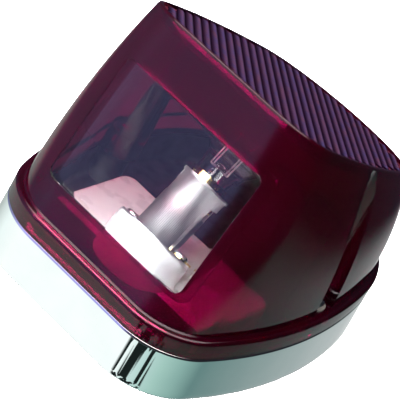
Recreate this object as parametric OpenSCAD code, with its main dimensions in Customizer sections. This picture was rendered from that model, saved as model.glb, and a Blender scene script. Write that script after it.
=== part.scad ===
// Motorcycle tail light: a die-cast base, a deep wedge-shaped red lens with a clear plate window,
// a bayonet lamp holder leaning towards the lens face, and a two-filament bulb.
// Z is up from the back of the base, the plate window looks along -Y, X is across the lamp.

/* [Outline] */
// Width of the lamp where lens and base meet
lamp_w = 112; // [104:1:124]
// Length of the lamp, from the window side to the nose
lamp_l = 150; // [140:1:162]
// Radius of the two corners beside the window
corner_r = 27; // [22:1:30]
// Direction in which the corner arc meets the side arc, in degrees
corner_a = -18; // [-24:1:-12]
// Direction in which the side arc meets the nose arc, in degrees
side_a = 14; // [10:1:20]

/* [Base] */
// Height of the chromed base
base_h = 18.4; // [16:0.2:22]
// Wall thickness of the base
base_wall = 4.8; // [4.4:0.2:6]
// How far the lower edge of the base flares out
base_flare = 0.6; // [0:0.1:1]
// Thickness of the rubber pad that is let into the back
pad_t = 1.5; // [1:0.1:2]
// Thickness of the base's floor
floor_t = 3.1; // [2.4:0.1:4]
// Height of the raised deck under the lamp holder
deck_z = 16.4; // [14:0.2:16.6]
// Distance between the two front fixing holes
fixing_spacing = 52; // [46:1:56]
// Place of the front fixing holes along Y
fixing_y = -16; // [-20:1:-12]
// Place of the rear fixing boss along Y
rear_fixing_y = 46; // [40:1:50]
// Diameter of the fixing holes, for an M6 thread
fixing_d = 6; // [5:0.5:6]

/* [Lens] */
// Height of the flange at the foot of the lens
skirt_h = 7.4; // [6:0.2:9]
// Step from the flange in to the lens wall
skirt_step = 3; // [2:0.5:4]
// Thickness of the lens wall
lens_wall = 2.6; // [2.2:0.1:3]
// Width of the lens face
face_w = 83.2; // [78:0.2:90]
// Corner radius of the lens face
face_corner_r = 17; // [14:1:20]
// Height of the face's edge above the window, from the back of the base
face_near_z = 105.2; // [98:0.2:112]
// Height of the face's edge at the nose
face_far_z = 54.3; // [50:0.1:62]
// Place of the face's edge above the window along Y
face_near_y = -51; // [-55:1:-46]
// Place of the face's edge at the nose along Y
face_far_y = 71; // [66:1:72]
// How far the sides swell out at half height
wall_bulge = 2.2; // [1:0.1:3]
// Half distance between the two lens screws
screw_x = 47.5; // [46.5:0.5:48]
// Place of the lens screws along Y
screw_y = 2; // [-2:1:6]
// Radius of the screw pockets
pocket_r = 6; // [5.5:0.1:6.2]

/* [Window] */
// Width of the clear window
window_w = 64.4; // [56:0.2:68]
// Height of the clear window, measured along the wall
window_h = 50; // [44:0.2:54]
// Height of the window's centre above the back of the base
window_z = 61.6; // [58:0.2:64]
// Corner radius of the window
window_r = 3; // [2:0.5:5]

/* [Lamp holder] */
// Lean of the lamp holder away from the window, in degrees
holder_tilt = 35; // [30:1:40]
// Height of the holder's flange above the back of the base
holder_z = 25.5; // [24:0.5:28]
// Place of the holder's flange along Y
holder_y = -35; // [-38:1:-32]
// Length of the holder's shell above its flange
shell_l = 26; // [24:0.5:28]
// Inner diameter of the shell
shell_id = 15.6; // [15.4:0.1:15.8]
// How far the contacts can be pushed in
contact_travel = 2.5; // [2:0.1:3]
// How far the bulb turns to come out, in degrees
twist = 25; // [15:1:30]

/* [Bulb] */
// Diameter of the bulb's glass globe
globe_d = 25; // [22:0.5:26]
// Diameter of the bulb's cap
cap_d = 15; // [14.9:0.1:15.1]

/* [Hidden] */
$fn = 64;
hull_fn = 32;
thin = 0.02;
over = 1;
play = 0.1;
floor_z = pad_t + floor_t;
skirt_z = base_h + skirt_h;
wall_foot_y = -lamp_l / 2 + skirt_step;

// Points of an arc about c, from angle a0 to angle a1
function arc_points(c, r, a0, a1, n) =
    [for (i = [0:n]) let (a = a0 + (a1 - a0) * i / n) c + r * [cos(a), sin(a)]];
function without_first(list) = [for (i = [1:len(list) - 1]) list[i]];
function mix(a, b, t) = a * (1 - t) + b * t;

// Radius of the side arc that closes an arch of width w and length l
function side_radius(w, l, rc, a1, a2) =
    let (k = (1 - sin(a2)) / cos(a2))
    (l - rc * (1 + sin(a1)) - k * w / 2) / (sin(a2) - sin(a1) - k * (1 - cos(a2)));

// Right half of an arch-shaped outline: a flat edge, a corner arc, a side arc and a nose arc
function half_arch(w, l, rc, a1, a2) =
    let (
        rs = side_radius(w, l, rc, a1, a2),
        rn = (w / 2 - rs * (1 - cos(a2))) / cos(a2),
        corner = [w / 2 - rc * cos(a1) - rs * (1 - cos(a1)), rc - l / 2],
        side = corner + (rc - rs) * [cos(a1), sin(a1)],
        nose = side + (rs - rn) * [cos(a2), sin(a2)]
    )
    concat(
        arc_points(corner, rc, -90, a1, 7),
        without_first(arc_points(side, rs, a1, a2, 5)),
        without_first(arc_points(nose, rn, a2, 90, 9))
    );
function arch(w, l, rc, a1, a2) =
    let (half = half_arch(w, l, rc, a1, a2), n = len(half))
    concat(half, [for (i = [2:n]) [-half[n - i][0], half[n - i][1]]]);

// Outline of the lamp at the joint, moved inwards by inset
function joint_outline(inset) =
    arch(lamp_w - 2 * inset, lamp_l - 2 * inset, corner_r - inset, corner_a, side_a);

module joint_plate(z0, z1, inset) {
    translate([0, 0, z0]) linear_extrude(z1 - z0) polygon(joint_outline(inset));
}

// A level or tilted cut through the lens; t is 0 at the flange and 1 at the face
module at_section(t) {
    near = mix([wall_foot_y, skirt_z], [face_near_y, face_near_z], t);
    far = mix([lamp_l / 2 - skirt_step, skirt_z], [face_far_y, face_far_z], t)
        + [4 * wall_bulge * t * (1 - t), 0];
    mid = (near + far) / 2;
    run = far - near;
    translate([0, mid[0], mid[1]]) rotate([atan2(run[1], run[0]), 0, 0]) children();
}
function section_outline(t, inset) =
    let (
        swell = 4 * wall_bulge * t * (1 - t),
        near = mix([wall_foot_y, skirt_z], [face_near_y, face_near_z], t),
        far = mix([lamp_l / 2 - skirt_step, skirt_z], [face_far_y, face_far_z], t) + [swell, 0],
        w = mix(lamp_w - 2 * skirt_step, face_w, t) + 2 * swell,
        rc = mix(corner_r - skirt_step, face_corner_r, t)
    )
    arch(w - 2 * inset, norm(far - near) - 2 * inset, rc - inset,
        mix(corner_a, -5, t), mix(side_a, 10, t));
module section(t, inset, sink = 0) {
    at_section(t) translate([0, 0, -sink - thin]) linear_extrude(thin)
        polygon(section_outline(t, inset));
}

// The lens form moved inwards by inset; its top is lowered by sink
module lens_form(inset, sink, foot_z) {
    edge = 0.9;
    hull() {
        joint_plate(foot_z, foot_z + thin, skirt_step + inset);
        for (t = [0, 0.25, 0.5, 0.75])
            section(t, inset);
        section(1, inset, sink + edge);
        section(1, inset + edge, sink);
    }
}
module lens_outside() {
    shoulder = 1.4;
    hull() {
        joint_plate(base_h, base_h + thin, 0.3);
        joint_plate(base_h + 0.4, skirt_z - shoulder, 0);
        joint_plate(skirt_z - 0.4 * shoulder, skirt_z - 0.3 * shoulder, 0.4 * shoulder);
        joint_plate(skirt_z - thin, skirt_z, shoulder);
    }
    lens_form(0, 0, base_h);
}
module both_sides() {
    for (side = [-1, 1])
        translate([side * screw_x, screw_y, 0]) rotate([0, 0, side < 0 ? 180 : 0]) children();
}
module pocket_column(r, z0) {
    column_h = face_near_z;
    translate([0, 0, z0]) {
        cylinder(h = column_h, r = r);
        translate([0, -r, 0]) cube([20, 2 * r, column_h]);
    }
}

// Frame of the window wall: Z out of the wall, Y up along it
wall_lean = atan2(face_near_y - wall_foot_y, face_near_z - skirt_z);
window_y = mix(wall_foot_y, face_near_y, (window_z - skirt_z) / (face_near_z - skirt_z));
module at_window() {
    translate([0, window_y, window_z]) rotate([90 - wall_lean, 0, 0]) children();
}
module rounded_plate(w, h, r, z0, z1) {
    translate([0, 0, z0]) linear_extrude(z1 - z0) {
        square([w - 2 * r, h], center = true);
        square([w, h - 2 * r], center = true);
        for (x = [-1, 1], y = [-1, 1])
            translate([x * (w / 2 - r), y * (h / 2 - r)]) circle(r);
    }
}

// Frame of the lamp holder: Z along its axis, out of the flange
module at_holder(s = 0) {
    translate([0, holder_y, holder_z]) rotate([-holder_tilt, 0, 0]) translate([0, 0, s]) children();
}
module tube(r_out, r_in, z0, z1) {
    translate([0, 0, z0]) difference() {
        cylinder(h = z1 - z0, r = r_out);
        translate([0, 0, -over]) cylinder(h = z1 - z0 + 2 * over, r = r_in);
    }
}
module rod(r, z0, z1) {
    translate([0, 0, z0]) cylinder(h = z1 - z0, r = r);
}
module rounded_post(r, h, edge) {
    rotate_extrude() polygon(concat([[0, 0], [r, 0]],
        arc_points([r - edge, h - edge], edge, 0, 90, 8), [[0, h]]));
}

/* Base and seals */
gasket_in = [2.6, base_wall];
gasket_z = base_h - 1.5;
bead_r = 6;
grommet_y = -44;
pedestal_r = 15.5;
seat_depth = 3;
deck_x = 36.3;
deck_y = [-62, -2];
deck_r = 5;
boss_r = 9;
rear_boss_h = 12;
post_r = 6.5;
screw_d = 4;
wire_hole_r = 3.5;
rivet_x = 11.6;
rivet_d = 3;

module fixing_places() {
    for (x = [-1, 1])
        translate([x * fixing_spacing / 2, fixing_y, 0]) children();
    translate([0, rear_fixing_y, 0]) children();
}

// Raised block with rounded corners, which carries the holder and takes the front fixings
module deck() {
    x = deck_x - deck_r;
    translate([0, 0, pad_t + 1]) linear_extrude(deck_z - pad_t - 1) polygon(concat(
        arc_points([x, deck_y[0] + deck_r], deck_r, -90, 0, 8),
        arc_points([x, deck_y[1] - deck_r], deck_r, 0, 90, 8),
        arc_points([-x, deck_y[1] - deck_r], deck_r, 90, 180, 8),
        arc_points([-x, deck_y[0] + deck_r], deck_r, 180, 270, 8)));
}

module mounting_pad() {
    pad_gap = 2.7;
    color([0.06, 0.06, 0.06]) difference() {
        joint_plate(0, pad_t - 0.05, pad_gap);
        fixing_places() rod(fixing_d / 2 + 1, -over, 4);
        translate([0, grommet_y, 0]) rod(9, -over, 4);
    }
}

module base_housing() {
    color([0.86, 0.88, 0.88]) difference() {
        union() {
            difference() {
                hull() {
                    joint_plate(0, thin, 0.9);
                    joint_plate(0.6, 0.7, 0.1 - base_flare / 2);
                    joint_plate(1.8, 1.9, -base_flare);
                    joint_plate(base_h - 1.2, base_h - 1.1, -0.05);
                    joint_plate(base_h - 0.4, base_h - 0.3, 0.2);
                    joint_plate(base_h - thin, base_h, 0.8);
                }
                joint_plate(floor_z, base_h + over, base_wall);
            }
            for (x = [-1, 1])
                translate([x * screw_x, screw_y, pad_t + 1]) rod(post_r, 0, base_h - pad_t - 1);
            deck();
            translate([0, rear_fixing_y, pad_t + 1]) rounded_post(boss_r, rear_boss_h, 4);
            hull() {
                at_holder(-4) cylinder(h = 4, r = pedestal_r, $fn = hull_fn);
                translate([0, grommet_y, pad_t + 1])
                    cylinder(h = 3, r = pedestal_r + 0.5, $fn = hull_fn);
            }
        }
        difference() {
            joint_plate(gasket_z, base_h + over, gasket_in[0]);
            joint_plate(gasket_z - over, base_h + 2 * over, gasket_in[1]);
        }
        joint_plate(-over, pad_t, 2.5);
        for (x = [-1, 1])
            translate([x * screw_x, screw_y, 0]) rod(screw_d / 2 + 0.05, 7, base_h + over);
        fixing_places() rod(fixing_d / 2, -over, floor_z + 8);
        at_holder() rod(9, -seat_depth, over);
        at_holder() rod(bead_r, -15, 0);
        translate([0, grommet_y, 0]) rod(bead_r, -over, 16.5);
        for (x = [-1, 1])
            at_holder() translate([x * rivet_x, 0, 0]) rod(rivet_d / 2 + 0.05, -6, over);
    }
}

module lens_gasket() {
    color([0.1, 0.1, 0.1]) difference() {
        joint_plate(gasket_z, base_h - 0.01, gasket_in[0] + play);
        joint_plate(gasket_z - over, base_h + over, gasket_in[1] - play);
    }
}

module wire_grommet() {
    lip_r = 8.4;
    color([0.05, 0.05, 0.05]) translate([0, grommet_y, 0]) rotate_extrude() polygon([
        [wire_hole_r, 0.2], [lip_r, 0.2], [lip_r, pad_t - 0.02], [bead_r - 0.05, pad_t - 0.02],
        [bead_r - 0.05, 7.6], [bead_r - 1.2, 8.6], [wire_hole_r, 8.6]]);
}

/* Lens */
lip = 1.6;
lip_depth = 1.8;
ledge = 4;
top_t = 3.4;

module lens_body() {
    pocket_wall = 2.4;
    color([0.5, 0.02, 0.05]) difference() {
        union() {
            difference() {
                lens_outside();
                lens_form(lens_wall, top_t, base_h - over);
            }
            intersection() {
                lens_outside();
                both_sides() pocket_column(pocket_r + pocket_wall, base_h);
            }
        }
        both_sides() pocket_column(pocket_r, skirt_z);
        both_sides() rod(screw_d / 2 + 0.2, base_h - over, skirt_z + over);
        at_window() rounded_plate(window_w, window_h, window_r, -9, 4);
        at_section(1) translate([0, 0, -lip_depth]) linear_extrude(6)
            polygon(section_outline(1, lip));
        at_section(1) translate([0, 0, -9]) linear_extrude(10) polygon(section_outline(1, ledge));
    }
}

module plate_window() {
    gap = 0.1;
    frame = 2.2;
    color([0.9, 0.93, 0.93, 0.5]) {
        intersection() {
            difference() {
                lens_form(0.05, 0, base_h);
                lens_form(lens_wall + 0.1, top_t, base_h - over);
            }
            at_window() rounded_plate(window_w - 2 * gap, window_h - 2 * gap, window_r - gap, -9, 4);
        }
        intersection() {
            difference() {
                lens_form(lens_wall + 0.05, top_t + 1, base_h);
                lens_form(lens_wall + 1.6, top_t + 3, base_h - over);
            }
            at_window() rounded_plate(window_w + 2 * frame, window_h + 2 * frame, window_r, -12, 4);
        }
    }
}

module reflex_panel() {
    skin = 0.1;
    color([0.45, 0.1, 0.16]) at_section(1) {
        translate([0, 0, skin - lip_depth]) linear_extrude(lip_depth - 2 * skin)
            polygon(section_outline(1, lip + skin));
        translate([0, 0, -4.6]) linear_extrude(4.6 + skin - lip_depth)
            polygon(section_outline(1, ledge + skin));
    }
}

washer_t = 0.8;
module lens_screws() {
    head_r = 4;
    head_h = 2.8;
    color([0.82, 0.83, 0.84]) both_sides() translate([0, 0, skirt_z + washer_t]) difference() {
        union() {
            rod(screw_d / 2, -17.5, 0.1);
            rounded_post(head_r, head_h, 1.6);
        }
        for (a = [0, 90])
            rotate([0, 0, a]) translate([-2.4, -0.45, head_h - 1.5]) cube([4.8, 0.9, 2]);
    }
}
module lens_screw_washers() {
    color([0.12, 0.12, 0.12]) both_sides() tube(4.9, screw_d / 2 + 0.2, skirt_z, skirt_z + washer_t);
}

/* Lamp holder */
shell_r = shell_id / 2;
shell_wall = 1;
flange_t = 1;
tab_t = 0.8;
pin_s = shell_l - 6.5;
slot_gap = 0.3;
pin_d = 2;

module ring_sector(r_in, r_out, z0, z1, a0, a1) {
    translate([0, 0, z0]) rotate([0, 0, a0]) rotate_extrude(angle = a1 - a0)
        translate([r_in, 0]) square([r_out - r_in, z1 - z0]);
}
module socket_shell() {
    half_slot = pin_d / 2 + slot_gap;
    slot_end_a = asin(half_slot / shell_r) + 1;
    slot_floor = pin_s - contact_travel - half_slot;
    color([0.75, 0.76, 0.76]) at_holder() difference() {
        union() {
            rod(shell_r + shell_wall, 0, shell_l);
            rod(shell_r + shell_wall + 0.5, shell_l - 1.2, shell_l);
            rod(pedestal_r - 0.4, 0, flange_t);
        }
        rod(shell_r, -over, shell_l + over);
        for (turn = [0, 180]) rotate([0, 0, turn]) {
            ring_sector(shell_r - 1, shell_r + 3, slot_floor, pin_s + half_slot, -slot_end_a, twist);
            rotate([0, 0, twist]) translate([shell_r - 1.5, -half_slot, slot_floor - 0.2])
                cube([5, 2 * half_slot, shell_l]);
        }
        for (x = [-1, 1])
            translate([x * rivet_x, 0, 0]) rod(rivet_d / 2 + 0.05, -over, flange_t + over);
    }
}

plunger_x = 3.5;
plunger_r = 1;
module plunger_places() {
    for (x = [-1, 1])
        translate([x * plunger_x, 0, 0]) children();
}
module socket_insulator() {
    color([0.35, 0.2, 0.12]) at_holder() difference() {
        rod(8.9, -seat_depth + 0.02, -0.02);
        plunger_places() rod(plunger_r + 0.3, -seat_depth - over, over);
    }
}
module rivet_place(x) {
    translate([x * rivet_x, 0, x > 0 ? flange_t + tab_t : flange_t]) children();
}
module socket_rivets() {
    color([0.7, 0.71, 0.72]) at_holder() for (x = [-1, 1])
        rivet_place(x) {
            rod(rivet_d / 2, -6.5, 0.1);
            rounded_post(2.6, 1.1, 1);
        }
}
module earth_tab() {
    color([0.78, 0.62, 0.3]) at_holder(flange_t + 0.01) difference() {
        union() {
            translate([rivet_x, 0, 0]) rod(2.8, 0, tab_t - 0.02);
            translate([rivet_x - 1.6, 0, 0]) cube([3.2, 9, tab_t - 0.02]);
        }
        translate([rivet_x, 0, 0]) rod(rivet_d / 2 + 0.05, -over, 2);
        translate([rivet_x, 7.2, 0]) rod(0.8, -over, 2);
    }
}

/* Sprung contacts */
bulb_s = pin_s - 7;
cap_top = bulb_s + 16;
carrier_top = bulb_s - 1;
carrier_t = 3.5;
contact_h = 0.6;
module contact_carrier() {
    color([0.3, 0.16, 0.1]) at_holder() difference() {
        rod(shell_r - 0.3, carrier_top - carrier_t, carrier_top);
        plunger_places() rod(plunger_r + 0.02, 0, carrier_top + over);
    }
}
module contact_plungers() {
    color([0.8, 0.63, 0.3]) at_holder() plunger_places() {
        rod(plunger_r, -4.5, carrier_top + 0.1);
        translate([0, 0, carrier_top + 0.01]) rounded_post(1.8, 1 - contact_h - 0.06, 0.3);
    }
}
module terminal_lugs() {
    color([0.8, 0.8, 0.78]) at_holder() plunger_places() {
        tube(1.9, plunger_r + 0.01, -4.4, -3.5 - contact_travel + 2.2);
        translate([-0.9, 1.1, -7.4]) cube([1.8, 0.5, 3.6]);
    }
}

// A round wire along a helix about Z: centre-line radius r, from z0 over height h
function helix_rings(r, wire_r, z0, h, turns, steps, sides) = [
    for (i = [0:steps], j = [0:sides - 1])
        let (a = 360 * turns * i / steps, b = 360 * j / sides, q = r + wire_r * cos(b))
        [q * cos(a), q * sin(a), z0 + h * i / steps + wire_r * sin(b)]
];
module helix(r, wire_r, z0, h, turns, per_turn, sides) {
    steps = round(turns * per_turn);
    last = steps * sides;
    polyhedron(
        helix_rings(r, wire_r, z0, h, turns, steps, sides),
        concat(
            [[for (j = [0:sides - 1]) j]],
            [for (i = [0:steps - 1], j = [0:sides - 1]) let (a = i * sides, n = (j + 1) % sides)
                each [[a + j, a + sides + j, a + sides + n], [a + j, a + sides + n, a + n]]],
            [[for (j = [sides - 1:-1:0]) last + j]]
        )
    );
}
spring_wire_r = 0.5;
spring_r = 6.2;
module contact_spring() {
    room = carrier_top - carrier_t;
    color([0.7, 0.71, 0.72]) at_holder()
        helix(spring_r, spring_wire_r, spring_wire_r + 0.05, room - 2 * spring_wire_r - 0.1, 4, 18, 8);
}

/* Bulb: s is measured along the holder's axis */
cap_r = cap_d / 2;
neck_r = cap_r - 0.75;
globe_r = globe_d / 2;
globe_s = bulb_s + 33;
glass_t = 0.7;
function globe_profile(shrink) =
    concat(
        [[neck_r - shrink, cap_top - 6], [neck_r - shrink, cap_top + 1]],
        arc_points([0, globe_s], globe_r - shrink, -52, 90, 16)
    );
module bulb_glass() {
    outer = globe_profile(0);
    inner = globe_profile(glass_t);
    last = len(inner) - 1;
    color([0.9, 0.92, 0.92, 0.4]) at_holder() rotate_extrude()
        polygon(concat(outer, [for (i = [0:last]) inner[last - i]]));
}
module bulb_cap() {
    cap_wall = 0.6;
    color([0.8, 0.68, 0.36]) at_holder() difference() {
        union() {
            tube(cap_r, cap_r - cap_wall, bulb_s + 1, cap_top);
            tube(cap_r, 5.2, bulb_s + 1, bulb_s + 2);
        }
        rotate([0, 90, 0]) translate([-pin_s, 0, -20]) cylinder(h = 40, r = pin_d / 2 + 0.01);
    }
}
module bulb_pins() {
    color([0.82, 0.7, 0.4]) at_holder(pin_s) for (turn = [0, 180])
        rotate([0, 90, turn]) rod(pin_d / 2, cap_r - 0.7, cap_r + 1.1);
}
module bulb_insulator() {
    color([0.04, 0.04, 0.05]) at_holder() {
        rod(5.1, bulb_s, bulb_s + 2);
        rod(cap_r - 0.65, bulb_s + 2.02, bulb_s + 4);
    }
}
module bulb_contacts() {
    color([0.72, 0.73, 0.74]) at_holder() plunger_places()
        translate([0, 0, bulb_s - contact_h]) rounded_post(1.5, contact_h - 0.01, 0.2);
}
stem_top = cap_top + 6;
module bulb_stem() {
    color([0.85, 0.88, 0.88, 0.5]) at_holder() rotate_extrude() polygon([
        [0, bulb_s + 5], [4.6, bulb_s + 5], [4.6, bulb_s + 6.5], [2.6, bulb_s + 10],
        [2.4, stem_top - 1], [1.6, stem_top], [0, stem_top]]);
}
wire_x = 3.6;
wire_y = 1.4;
lead_r = 0.3;
tail_s = globe_s - 3;
stop_s = globe_s + 2;
module filament_wires() {
    root_s = stem_top - 2;
    color([0.6, 0.6, 0.6]) at_holder() for (x = [-1, 1], y = [-1, 1])
        translate([x * wire_x, y * wire_y, 0]) {
            rod(lead_r, root_s, (y < 0 ? tail_s : stop_s) + 0.5);
            translate([0, 0, root_s]) rotate([0, -90 * x, 0]) rod(lead_r, 0, wire_x - 1.2);
        }
}
module filament(s, y, coil_r) {
    half = wire_x - lead_r - 0.2;
    at_holder(s) translate([0, y, 0]) rotate([0, 90, 0])
        helix(coil_r, 0.16, -half, 2 * half, 7, 10, 6);
}
module tail_filament() {
    color([0.5, 0.5, 0.5]) filament(tail_s, -wire_y, 0.55);
}
module stop_filament() {
    color([0.5, 0.5, 0.5]) filament(stop_s, wire_y, 0.8);
}

mounting_pad();
base_housing();
lens_gasket();
lens_body();
plate_window();
reflex_panel();
lens_screws();
lens_screw_washers();
socket_shell();
socket_insulator();
socket_rivets();
earth_tab();
wire_grommet();
contact_carrier();
contact_plungers();
terminal_lugs();
contact_spring();
bulb_glass();
bulb_cap();
bulb_pins();
bulb_insulator();
bulb_contacts();
bulb_stem();
filament_wires();
tail_filament();
stop_filament();
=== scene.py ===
# %% [markdown]
# # A motorcycle tail light
#
# This lesson dresses a finished CAD model. The CAD holds every size and every moving joint. Blender adds what a
# camera sees: smooth shells, thick red and clear acrylic, chrome plate, a prismatic reflex face, a coiled spring and
# thin filaments. All lengths are in metres, and MM turns the millimetres of a drawing into metres.

# %% Load the frame
import math
import bmesh
import bpy
import numpy as np
from mathutils import Matrix, Vector


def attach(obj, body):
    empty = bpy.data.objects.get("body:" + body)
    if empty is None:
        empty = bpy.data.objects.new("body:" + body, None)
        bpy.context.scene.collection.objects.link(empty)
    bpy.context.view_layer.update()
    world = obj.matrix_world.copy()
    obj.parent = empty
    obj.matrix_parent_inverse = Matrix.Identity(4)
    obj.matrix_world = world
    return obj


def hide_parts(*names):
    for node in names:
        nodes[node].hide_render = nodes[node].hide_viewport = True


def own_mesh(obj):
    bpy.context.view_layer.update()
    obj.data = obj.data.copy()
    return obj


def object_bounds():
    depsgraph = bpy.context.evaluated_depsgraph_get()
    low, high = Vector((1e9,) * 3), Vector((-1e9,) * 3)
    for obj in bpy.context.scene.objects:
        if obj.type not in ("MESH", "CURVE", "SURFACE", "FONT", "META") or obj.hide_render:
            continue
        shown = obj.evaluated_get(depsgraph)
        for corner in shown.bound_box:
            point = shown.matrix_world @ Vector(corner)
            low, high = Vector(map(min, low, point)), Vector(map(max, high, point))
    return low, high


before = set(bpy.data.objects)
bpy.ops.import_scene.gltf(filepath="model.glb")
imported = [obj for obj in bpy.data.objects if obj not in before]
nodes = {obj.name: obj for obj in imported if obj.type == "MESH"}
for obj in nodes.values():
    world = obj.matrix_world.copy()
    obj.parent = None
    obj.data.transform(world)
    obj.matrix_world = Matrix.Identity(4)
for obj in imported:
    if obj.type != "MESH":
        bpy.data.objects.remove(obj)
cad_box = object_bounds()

MM = 0.001
scene = bpy.context.scene
print("CAD nodes:", len(nodes), "box", [round(v * 1000, 1) for v in (*cad_box[0], *cad_box[1])])

# %% [markdown]
# ## The camera
#
# A long lens looks down at the lamp from a little to its right, and is turned about its own axis, so the lamp seems to
# tip over. A camera needs three directions: back (away from the lamp), right and up. Turning right and up together
# rolls the picture. A long lens keeps the lamp's edges nearly parallel, as a catalogue view does.

# %% Camera
VIEW_AZIMUTH = math.radians(24.08)
VIEW_ELEVATION = math.radians(31.22)
VIEW_ROLL = math.radians(30.19)
VIEW_TARGET = Vector((25.16, -75.0, 76.0)) * MM
VIEW_DISTANCE = 826.2 * MM
VIEW_LENS = 233.2


def make_camera():
    """A camera on the target's view line, rolled about that line."""
    ca, sa = math.cos(VIEW_AZIMUTH), math.sin(VIEW_AZIMUTH)
    ce, se = math.cos(VIEW_ELEVATION), math.sin(VIEW_ELEVATION)
    back = Vector((sa * ce, -ca * ce, se))
    level_right = Vector((ca, sa, 0.0))
    level_up = back.cross(level_right)
    right = level_right * math.cos(VIEW_ROLL) + level_up * math.sin(VIEW_ROLL)
    up = level_up * math.cos(VIEW_ROLL) - level_right * math.sin(VIEW_ROLL)
    data = bpy.data.cameras.new("studio_camera")
    data.lens = VIEW_LENS
    data.clip_start = 0.01
    data.clip_end = 50.0
    camera = bpy.data.objects.new("studio_camera", data)
    turn = Matrix((right, up, back)).transposed()
    camera.matrix_world = Matrix.Translation(VIEW_TARGET + back * VIEW_DISTANCE) @ turn.to_4x4()
    scene.collection.objects.link(camera)
    scene.camera = camera
    return camera


camera = make_camera()
print("camera at", [round(v, 3) for v in camera.location])

# %% [markdown]
# ## The studio
#
# Polished chrome and dark acrylic show little of their own colour: they show the room. The room is therefore part of
# the model's looks, and it is painted with nodes. Nodes are wired one by one, so three short helpers come first: one
# adds a node, one does arithmetic, and one gives a soft window that is 1 between two values and 0 outside.

# %% Node helpers
def new_node(tree, kind, **settings):
    """Adds a node and sets its own fields."""
    node = tree.nodes.new(kind)
    for field, value in settings.items():
        setattr(node, field, value)
    return node


def math_node(tree, operation, a, b=None, clamp=False):
    """A Math node; a and b are sockets or numbers. Returns its output."""
    node = new_node(tree, "ShaderNodeMath", operation=operation, use_clamp=clamp)
    for slot, value in enumerate((a, b)):
        if value is None:
            continue
        if isinstance(value, bpy.types.NodeSocket):
            tree.links.new(value, node.inputs[slot])
        else:
            node.inputs[slot].default_value = value
    return node.outputs[0]


def window_of(tree, value, low, high, soft):
    """1 where value is between low and high, fading over soft on both sides."""
    def step(edge, direction):
        node = new_node(tree, "ShaderNodeMapRange", clamp=True, interpolation_type="SMOOTHSTEP")
        tree.links.new(value, node.inputs["Value"])
        node.inputs["From Min"].default_value = edge - soft / 2
        node.inputs["From Max"].default_value = edge + soft / 2
        node.inputs["To Min"].default_value = 0.0 if direction > 0 else 1.0
        node.inputs["To Max"].default_value = 1.0 if direction > 0 else 0.0
        return node.outputs["Result"]
    return math_node(tree, "MULTIPLY", step(low, 1), step(high, -1))


print("node helpers ready")

# %% [markdown]
# ## The sky
#
# The sky is three bands. Below the horizon is a pale room, which the chrome mirrors. Round the horizon it is nearly
# dark, with one violet screen to the left that puts the cool sheen on the red walls. Overhead is a bright ceiling. In
# the pale band, noise cuts some dark folds like hanging cloth, and the chrome's near corner picks them up. Each band
# is a colour ramp read by direction, because a ramp is easy to repaint one stop at a time.


# %% Sky
MIX_A, MIX_B, MIX_RESULT = 6, 7, 2


def azimuth_ramp(tree, azimuth, stops):
    """Colours by direction: each stop is (azimuth in degrees, red, green, blue)."""
    ramp = new_node(tree, "ShaderNodeValToRGB")
    elements = ramp.color_ramp.elements
    while len(elements) > 1:
        elements.remove(elements[-1])
    for number, (degrees, *colour) in enumerate(stops):
        element = elements.new(degrees / 360 + 0.5) if number else elements[0]
        if number == 0:
            element.position = degrees / 360 + 0.5
        element.color = (*colour, 1.0)
    tree.links.new(math_node(tree, "ADD", math_node(tree, "DIVIDE", azimuth, 360.0), 0.5), ramp.inputs["Fac"])
    return ramp.outputs["Color"]


def blend_colours(tree, factor, first, second):
    """first where factor is 0, second where it is 1; either may be a plain colour."""
    node = new_node(tree, "ShaderNodeMix", data_type="RGBA")
    tree.links.new(factor, node.inputs["Factor"])
    for place, value in ((MIX_A, first), (MIX_B, second)):
        if isinstance(value, bpy.types.NodeSocket):
            tree.links.new(value, node.inputs[place])
        else:
            node.inputs[place].default_value = (*value, 1.0)
    return node.outputs[MIX_RESULT]


LOW_ROOM = [(-180, 0.5, 0.54, 0.54), (-156, 1.0, 1.0, 1.0), (-125, 0.46, 0.52, 0.5), (-80, 0.90, 1.0, 0.98),
            (-45, 1.0, 1.04, 1.03), (4, 0.98, 1.05, 1.04), (22, 0.60, 0.78, 0.76), (36, 0.50, 0.70, 0.67),
            (60, 0.38, 0.60, 0.54), (90, 0.26, 0.44, 0.40), (120, 0.13, 0.24, 0.23), (180, 0.5, 0.54, 0.54)]
HORIZON = [(-180, 0.03, 0.03, 0.05), (-120, 0.06, 0.06, 0.10), (-70, 0.25, 0.26, 0.5), (-38, 0.50, 0.50, 1.0),
           (-16, 0.36, 0.36, 0.8), (-4, 0.08, 0.06, 0.15), (10, 0.015, 0.015, 0.02), (150, 0.015, 0.015, 0.02),
           (180, 0.03, 0.03, 0.05)]
OVERHEAD = 4.0
HORIZON_Z, CEILING_Z, PAST_TOP = -0.40, 0.80, 3.0
FOLD_AZIMUTH, FOLD_Z, FOLD_LEVEL = (2, 48), (-0.9, -0.4), 0.46
FOLD_COLOUR = (0.01, 0.015, 0.015)


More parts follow.
